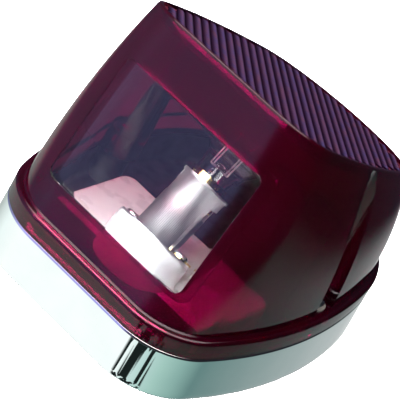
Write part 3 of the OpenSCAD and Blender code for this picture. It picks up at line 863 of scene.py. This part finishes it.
# %% Smooth copies
def smooth_copy(node, material, body, slot, degrees=32.0):
    """A welded, smooth-shaded copy of a CAD node."""
    mesh = nodes[node].data.copy()
    shape = bmesh.new()
    shape.from_mesh(mesh)
    bmesh.ops.remove_doubles(shape, verts=shape.verts, dist=0.002 * MM)
    shape.to_mesh(mesh)
    shape.free()
    made = bpy.data.objects.new(node + "_piece", mesh)
    scene.collection.objects.link(made)
    return finish_piece(soften(made, degrees), material, body, slot, node)


COPIES = [
    ("mounting_pad", RUBBER, "root", "pad_rubber"),
    ("lens_gasket", FOAM, "root", "gasket_foam"),
    ("lens_screw_washers", FIBRE, "root", "fibre"),
    ("wire_grommet", RUBBER, "root", "pad_rubber"),
    ("socket_shell", STEEL, "root", "holder_steel"),
    ("socket_insulator", PHENOLIC, "root", "phenolic"),
    ("socket_rivets", TINNED, "root", "tinned"),
    ("earth_tab", BRASS, "root", "brass"),
    ("contact_carrier", PHENOLIC, "contacts", "phenolic"),
    ("contact_plungers", BRASS, "contacts", "brass"),
    ("terminal_lugs", TINNED, "contacts", "tinned"),
    ("bulb_glass", GLASS, "bulb", "bulb_glass"),
    ("bulb_cap", BRASS, "bulb", "brass"),
    ("bulb_pins", BRASS, "bulb", "brass"),
    ("bulb_insulator", BLACK_GLASS, "bulb", "black_glass"),
    ("bulb_contacts", TINNED, "bulb", "tinned"),
    ("bulb_stem", GLASS, "bulb", "bulb_glass"),
    ("filament_wires", TINNED, "bulb", "tinned"),
]
for row in COPIES:
    smooth_copy(*row)

# %% [markdown]
# ## Geometry Nodes helpers
#
# The rest repeats or follows a path, which is work for Geometry Nodes. Each tree has named inputs for its sizes. A
# helper runs a tree once, turns the result into a plain mesh and throws the modifier away.


# %% Tree helpers
def new_tree(name, inputs):
    """A node tree with named inputs: (name, kind, default)."""
    tree = bpy.data.node_groups.new(name, "GeometryNodeTree")
    for label, kind, default in inputs:
        item = tree.interface.new_socket(name=label, in_out="INPUT", socket_type=kind)
        if default is not None:
            item.default_value = default
    tree.interface.new_socket(name="Geometry", in_out="OUTPUT", socket_type="NodeSocketGeometry")
    return tree, new_node(tree, "NodeGroupInput"), new_node(tree, "NodeGroupOutput")


def close_tree(tree, geometry, given, output):
    """Every tree ends the same way: real geometry and one material."""
    realize = new_node(tree, "GeometryNodeRealizeInstances")
    assign = new_node(tree, "GeometryNodeSetMaterial")
    tree.links.new(geometry, realize.inputs[0])
    tree.links.new(realize.outputs[0], assign.inputs["Geometry"])
    tree.links.new(given.outputs["Material"], assign.inputs["Material"])
    tree.links.new(assign.outputs[0], output.inputs["Geometry"])


def run_tree(name, tree, values):
    """Runs a tree on an empty carrier and returns a plain mesh object."""
    carrier = bpy.data.objects.new(name + "_carrier", bpy.data.meshes.new(name + "_carrier"))
    scene.collection.objects.link(carrier)
    modifier = carrier.modifiers.new("tree", "NODES")
    modifier.node_group = tree
    identifiers = {item.name: item.identifier for item in tree.interface.items_tree if item.in_out == "INPUT"}
    for label, value in values.items():
        modifier[identifiers[label]] = value
    graph = bpy.context.evaluated_depsgraph_get()
    mesh = bpy.data.meshes.new_from_object(carrier.evaluated_get(graph), depsgraph=graph)
    bpy.data.objects.remove(carrier)
    made = bpy.data.objects.new(name, mesh)
    scene.collection.objects.link(made)
    return made


print("tree helpers ready")

# %% [markdown]
# ## Springs and filaments
#
# A coil is a spiral curve with a round wire swept along it. The same tree makes the contact spring and, much finer,
# the two filaments. The tree's spiral stands on Z, so its mesh is turned onto the holder's axis afterwards.


# %% Coils
def coil_tree():
    """A spiral with a round wire swept along it."""
    tree, given, output = new_tree("coil", [
        ("Turns", "NodeSocketFloat", 4.0),
        ("Radius", "NodeSocketFloat", 0.006),
        ("Length", "NodeSocketFloat", 0.007),
        ("Wire Radius", "NodeSocketFloat", 0.0005),
        ("Wire Sides", "NodeSocketInt", 12),
        ("Material", "NodeSocketMaterial", None),
    ])
    spiral = new_node(tree, "GeometryNodeCurveSpiral")
    spiral.inputs["Resolution"].default_value = 48
    section = new_node(tree, "GeometryNodeCurvePrimitiveCircle")
    sweep = new_node(tree, "GeometryNodeCurveToMesh")
    sweep.inputs["Fill Caps"].default_value = True
    for source, target in (("Turns", "Rotations"), ("Radius", "Start Radius"), ("Radius", "End Radius"),
                           ("Length", "Height")):
        tree.links.new(given.outputs[source], spiral.inputs[target])
    tree.links.new(given.outputs["Wire Sides"], section.inputs["Resolution"])
    tree.links.new(given.outputs["Wire Radius"], section.inputs["Radius"])
    tree.links.new(spiral.outputs[0], sweep.inputs["Curve"])
    tree.links.new(section.outputs[0], sweep.inputs["Profile Curve"])
    close_tree(tree, sweep.outputs[0], given, output)
    return tree


def holder_matrix(s=0.0):
    """From the holder's own frame to the lamp's, s millimetres along the axis."""
    turn = Matrix.Rotation(-HOLDER_TILT, 4, "X")
    return Matrix.Translation(Vector(HOLDER + s * HOLDER_AXIS) * MM) @ turn


COIL = coil_tree()
SPRING_ROOM, WIRE_R, TRAVEL = 8.0, 0.5, 2.5
GLOBE_S = 45.5
WIRE_X, WIRE_Y = 3.6, 1.4
FILAMENT_HALF = WIRE_X - 0.4


def make_coil(name, turns, radius, length, wire, sides, material, place):
    """A coil of the given size in millimetres, moved to its place."""
    made = run_tree(name, COIL, {
        "Turns": turns, "Radius": radius * MM, "Length": length * MM,
        "Wire Radius": wire * MM, "Wire Sides": sides, "Material": material,
    })
    made.data.transform(place)
    return soften(made, 60.0)


spring = make_coil("contact_spring_coil", 4.0, 6.2, SPRING_ROOM - 2 * WIRE_R - 0.1, WIRE_R, 12, SPRING_STEEL,
                   holder_matrix(WIRE_R + 0.05))
finish_piece(spring, SPRING_STEEL, "root", "spring_steel", "contact_spring")
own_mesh(spring)

for name, node, s, y, radius in (
    ("tail_filament_coil", "tail_filament", GLOBE_S - 3, -WIRE_Y, 0.4),
    ("stop_filament_coil", "stop_filament", GLOBE_S + 2, WIRE_Y, 0.6),
):
    across = Matrix.Translation((0, y * MM, 0)) @ Matrix.Rotation(math.pi / 2, 4, "Y")
    shift = Matrix.Translation((0, 0, -FILAMENT_HALF * MM))
    coil = make_coil(name, 12.0, radius, 2 * FILAMENT_HALF, 0.12, 6, TUNGSTEN, holder_matrix(s) @ across @ shift)
    finish_piece(coil, TUNGSTEN, "bulb", "tungsten", node)

# %% [markdown]
# ## Lens screws
#
# Two cross-headed screws hold the lens. One screw is modelled once; the tree puts it on two points and mirrors
# nothing, because a screw has no left and right.


# %% Screws
def screw_mesh():
    """A pan-head screw on the Z axis, its seat at 0, with a cross recess."""
    head_r, head_h, edge = 4.0, 2.8, 1.6
    profile = [(0.01, -17.5), (1.7, -17.5), (2.0, -16.9), (2.0, -0.01), (head_r, 0.0), (head_r, head_h - edge)]
    profile += [(head_r - edge + edge * math.cos(math.radians(a)), head_h - edge + edge * math.sin(math.radians(a)))
                for a in np.linspace(15, 90, 6)]
    profile += [(0.01, head_h + 0.05)]
    screw = loft("screw_pattern", disc_rings(0, 0, profile, 48))
    for turn in (0, 90):
        blade = loft("blade", [np.array([(x, y, z) for x, y in ((-w, -0.45), (w, -0.45), (w, 0.45), (-w, 0.45))])
                               for w, z in ((1.3, head_h - 1.6), (2.5, head_h + 0.5))])
        blade.data.transform(Matrix.Rotation(math.radians(turn + 30), 4, "Z"))
        cut(screw, blade)
    return soften(screw)


def placed_twice_tree():
    """Puts one object on two points, a Spacing apart along X."""
    tree, given, output = new_tree("pair_of_parts", [
        ("Part", "NodeSocketObject", None),
        ("Spacing", "NodeSocketFloat", 0.095),
        ("Place", "NodeSocketVector", None),
        ("Material", "NodeSocketMaterial", None),
    ])
    line = new_node(tree, "GeometryNodeMeshLine", mode="OFFSET")
    line.inputs["Count"].default_value = 2
    offset = new_node(tree, "ShaderNodeCombineXYZ")
    part = new_node(tree, "GeometryNodeObjectInfo")
    scatter = new_node(tree, "GeometryNodeInstanceOnPoints")
    tree.links.new(given.outputs["Spacing"], offset.inputs["X"])
    tree.links.new(offset.outputs[0], line.inputs["Offset"])
    tree.links.new(given.outputs["Place"], line.inputs["Start Location"])
    tree.links.new(given.outputs["Part"], part.inputs["Object"])
    tree.links.new(line.outputs[0], scatter.inputs["Points"])
    tree.links.new(part.outputs["Geometry"], scatter.inputs["Instance"])
    close_tree(tree, scatter.outputs[0], given, output)
    return tree


WASHER_T = 0.8
pattern = screw_mesh()
screws = run_tree("lens_screw_pair", placed_twice_tree(), {
    "Part": pattern, "Spacing": 2 * SCREW_X * MM,
    "Place": (-SCREW_X * MM, SCREW_Y * MM, (SKIRT_Z + WASHER_T) * MM), "Material": SCREW_CHROME,
})
bpy.data.objects.remove(pattern)
finish_piece(soften(screws), SCREW_CHROME, "root", "screw_chrome", "lens_screws")

# %% [markdown]
# ## The reflex face
#
# The face is a plate of small corner prisms in a honeycomb. One prism is three slanted faces on a six-sided foot. The
# tree lays points in a staggered grid, keeps those over the plate, and puts a prism on each. Its plate underneath is
# again a stack of rings. The face is seen almost edge on, where tall prisms would hide the valleys behind them, so the
# prisms are low. Their material reads its height above the plate: valleys are painted nearly black and lose their
# gloss, which is painted shade, and crests are glossy, which keeps the rows apart even at that flat angle.


# %% Reflex plate and prisms
PRISM_PITCH, PRISM_H, PLATE_SINK = 4.2, 0.9, 1.2
PRISM_FILL = 0.9
FACE_TILT = math.atan2(*(FACE_FAR - FACE_NEAR)[::-1])


def reflex_material():
    """Small moulded prisms: painted shade makes their valleys nearly black with no gloss; their crests keep a gloss
    that mirrors the room.
    """
    material, tree, shader = shader_of("reflex_prisms")
    place = new_node(tree, "ShaderNodeTexCoord")
    height = new_node(tree, "ShaderNodeVectorMath", operation="DOT_PRODUCT")
    tree.links.new(place.outputs["Object"], height.inputs[0])
    up = (0.0, -math.sin(FACE_TILT), math.cos(FACE_TILT))
    height.inputs[1].default_value = up
    foot = float(np.dot(FACE_NEAR, up[1:])) - PLATE_SINK + 0.1
    painted_shade_by_height = new_node(tree, "ShaderNodeMapRange")
    tree.links.new(height.outputs["Value"], painted_shade_by_height.inputs["Value"])
    painted_shade_by_height.inputs["From Min"].default_value = (foot + 0.5 * PRISM_H) * MM
    painted_shade_by_height.inputs["From Max"].default_value = (foot + 0.95 * PRISM_H) * MM
    hue = two_tone(tree, noise(tree, 420.0, 2.0), (0.006, 0.006, 0.022), (0.022, 0.007, 0.012))
    # Painted shade: by height above the plate, valleys get a near-black colour and no specular gloss.
    shade = blend_colours(tree, painted_shade_by_height.outputs["Result"], (0.0008, 0.0002, 0.0008), hue)
    tree.links.new(shade, shader.inputs["Base Color"])
    tree.links.new(painted_shade_by_height.outputs["Result"], shader.inputs["Specular IOR Level"])
    shader.inputs["Roughness"].default_value = 0.12
    shader.inputs["IOR"].default_value = 1.6
    return material


REFLEX = reflex_material()


def reflex_plate():
    """The plate under the prisms, with its step into the lens."""
    gap = 0.1
    rings = [section_ring(1.0, LEDGE + gap, 4.6), section_ring(1.0, LEDGE + gap, LIP_DEPTH - gap),
             section_ring(1.0, LIP + gap, LIP_DEPTH - gap), section_ring(1.0, LIP + gap, PLATE_SINK)]
    return soften(loft("reflex_plate", rings))


def prism_mesh():
    """Three faces from a raised point down to a six-sided foot, closed below."""
    reach = PRISM_FILL * PRISM_PITCH / math.sqrt(3)
    foot = [(reach * math.sin(math.radians(60 * k)), reach * math.cos(math.radians(60 * k))) for k in range(6)]
    top = [(x, y, PRISM_H * (0.05 if k % 2 else 0.55)) for k, (x, y) in enumerate(foot)]
    low = [(x, y, -0.1) for x, y in foot]
    verts = top + [(0, 0, PRISM_H)] + low
    faces = [(6, k, (k + 1) % 6, (k + 2) % 6) for k in (0, 2, 4)]
    faces += [(k, 7 + k, 7 + (k + 1) % 6, (k + 1) % 6) for k in range(6)]
    faces += [tuple(range(12, 6, -1))]
    return object_from("prism_pattern", verts, faces)


def honeycomb_tree():
    """Staggered points over a plate, one part on each point."""
    tree, given, output = new_tree("honeycomb", [
        ("Part", "NodeSocketObject", None),
        ("Plate", "NodeSocketObject", None),
        ("Pitch", "NodeSocketFloat", 0.005),
        ("Across", "NodeSocketInt", 25),
        ("Along", "NodeSocketInt", 40),
        ("Material", "NodeSocketMaterial", None),
    ])
    link = tree.links.new
    row_gap = math_node(tree, "MULTIPLY", given.outputs["Pitch"], math.sqrt(3) / 2)
    grid = new_node(tree, "GeometryNodeMeshGrid")
    width = math_node(tree, "MULTIPLY", given.outputs["Pitch"],
                      math_node(tree, "SUBTRACT", given.outputs["Across"], 1.0))
    length = math_node(tree, "MULTIPLY", row_gap, math_node(tree, "SUBTRACT", given.outputs["Along"], 1.0))
    link(width, grid.inputs["Size X"])
    link(length, grid.inputs["Size Y"])
    link(given.outputs["Across"], grid.inputs["Vertices X"])
    link(given.outputs["Along"], grid.inputs["Vertices Y"])
    position = new_node(tree, "GeometryNodeInputPosition")
    split = new_node(tree, "ShaderNodeSeparateXYZ")
    link(position.outputs[0], split.inputs[0])
    row = math_node(tree, "ROUND", math_node(tree, "DIVIDE", math_node(tree, "ADD", split.outputs["Y"],
                    math_node(tree, "DIVIDE", length, 2.0)), row_gap))
    shift = math_node(tree, "MULTIPLY", math_node(tree, "MODULO", row, 2.0),
                      math_node(tree, "DIVIDE", given.outputs["Pitch"], 2.0))
    offset = new_node(tree, "ShaderNodeCombineXYZ")
    link(shift, offset.inputs["X"])
    stagger = new_node(tree, "GeometryNodeSetPosition")
    link(grid.outputs[0], stagger.inputs["Geometry"])
    link(offset.outputs[0], stagger.inputs["Offset"])
    plate = new_node(tree, "GeometryNodeObjectInfo")
    link(given.outputs["Plate"], plate.inputs["Object"])
    ray = new_node(tree, "GeometryNodeRaycast")
    link(plate.outputs["Geometry"], ray.inputs["Target Geometry"])
    ray.inputs["Ray Direction"].default_value = (0.0, 0.0, -1.0)
    ray.inputs["Ray Length"].default_value = 1.0
    miss = new_node(tree, "FunctionNodeBooleanMath", operation="NOT")
    link(ray.outputs["Is Hit"], miss.inputs[0])
    keep = new_node(tree, "GeometryNodeDeleteGeometry", domain="POINT")
    link(stagger.outputs[0], keep.inputs["Geometry"])
    link(miss.outputs[0], keep.inputs["Selection"])
    part = new_node(tree, "GeometryNodeObjectInfo")
    link(given.outputs["Part"], part.inputs["Object"])
    scatter = new_node(tree, "GeometryNodeInstanceOnPoints")
    link(keep.outputs[0], scatter.inputs["Points"])
    link(part.outputs["Geometry"], scatter.inputs["Instance"])
    close_tree(tree, scatter.outputs[0], given, output)
    return tree


def face_matrix(sink):
    """From the face's own flat frame to the lamp's."""
    run = FACE_FAR - FACE_NEAR
    tilt = math.atan2(run[1], run[0])
    middle = (FACE_NEAR + FACE_FAR) / 2
    place = Matrix.Translation(Vector((0, *middle)) * MM) @ Matrix.Rotation(tilt, 4, "X")
    return place @ Matrix.Translation((0, 0, -sink * MM))


def make_prisms():
    """Prisms laid out flat and trimmed to the plate's outline; they are moved onto the face later."""
    length = float(np.hypot(*(FACE_FAR - FACE_NEAR)))
    grow = LIP + 0.15

    def flat_plate(name, inset, z0, z1):
        outline = arch(FACE_W - 2 * inset, length - 2 * inset, FACE_CORNER_R - inset, -5, 10)
        return loft(name, [np.column_stack([outline, np.full(len(outline), z)]) for z in (z0, z1)])

    catch = flat_plate("catch", grow + PRISM_PITCH * 0.3, -3, -2)
    part = prism_mesh()
    made = run_tree("reflex_prisms", honeycomb_tree(), {
        "Part": part, "Plate": catch, "Pitch": PRISM_PITCH * MM, "Across": 25, "Along": 46, "Material": REFLEX,
    })
    for helper in (catch, part):
        bpy.data.objects.remove(helper)
    return made


prisms = make_prisms()
outline = arch(FACE_W - 2 * (LIP + 0.15), float(np.hypot(*(FACE_FAR - FACE_NEAR))) - 2 * (LIP + 0.15),
               FACE_CORNER_R - LIP, -5, 10) * MM


def squeeze_into(mesh, edge):
    """Pulls points that lie outside the outline onto it, so that edge prisms stop at the lip."""
    inner = np.array(edge)
    after = np.roll(inner, -1, 0)
    for vertex in mesh.vertices:
        p = np.array(vertex.co[:2])
        side = (after - inner)[:, 0] * (p[1] - inner[:, 1]) - (after - inner)[:, 1] * (p[0] - inner[:, 0])
        if (side < 0).any():
            run = after - inner
            along = np.clip(((p - inner) * run).sum(1) / (run ** 2).sum(1), 0, 1)
            near = inner + run * along[:, None]
            best = near[((near - p) ** 2).sum(1).argmin()]
            vertex.co.x, vertex.co.y = best


squeeze_into(prisms.data, outline)
prisms.data.transform(face_matrix(PLATE_SINK - 0.1))
plate = finish_piece(reflex_plate(), REFLEX_BED_PAINTED_SHADE, "root", "reflex_red", "reflex_panel")
finish_piece(prisms, REFLEX, "root", "reflex_red", "reflex_panel")
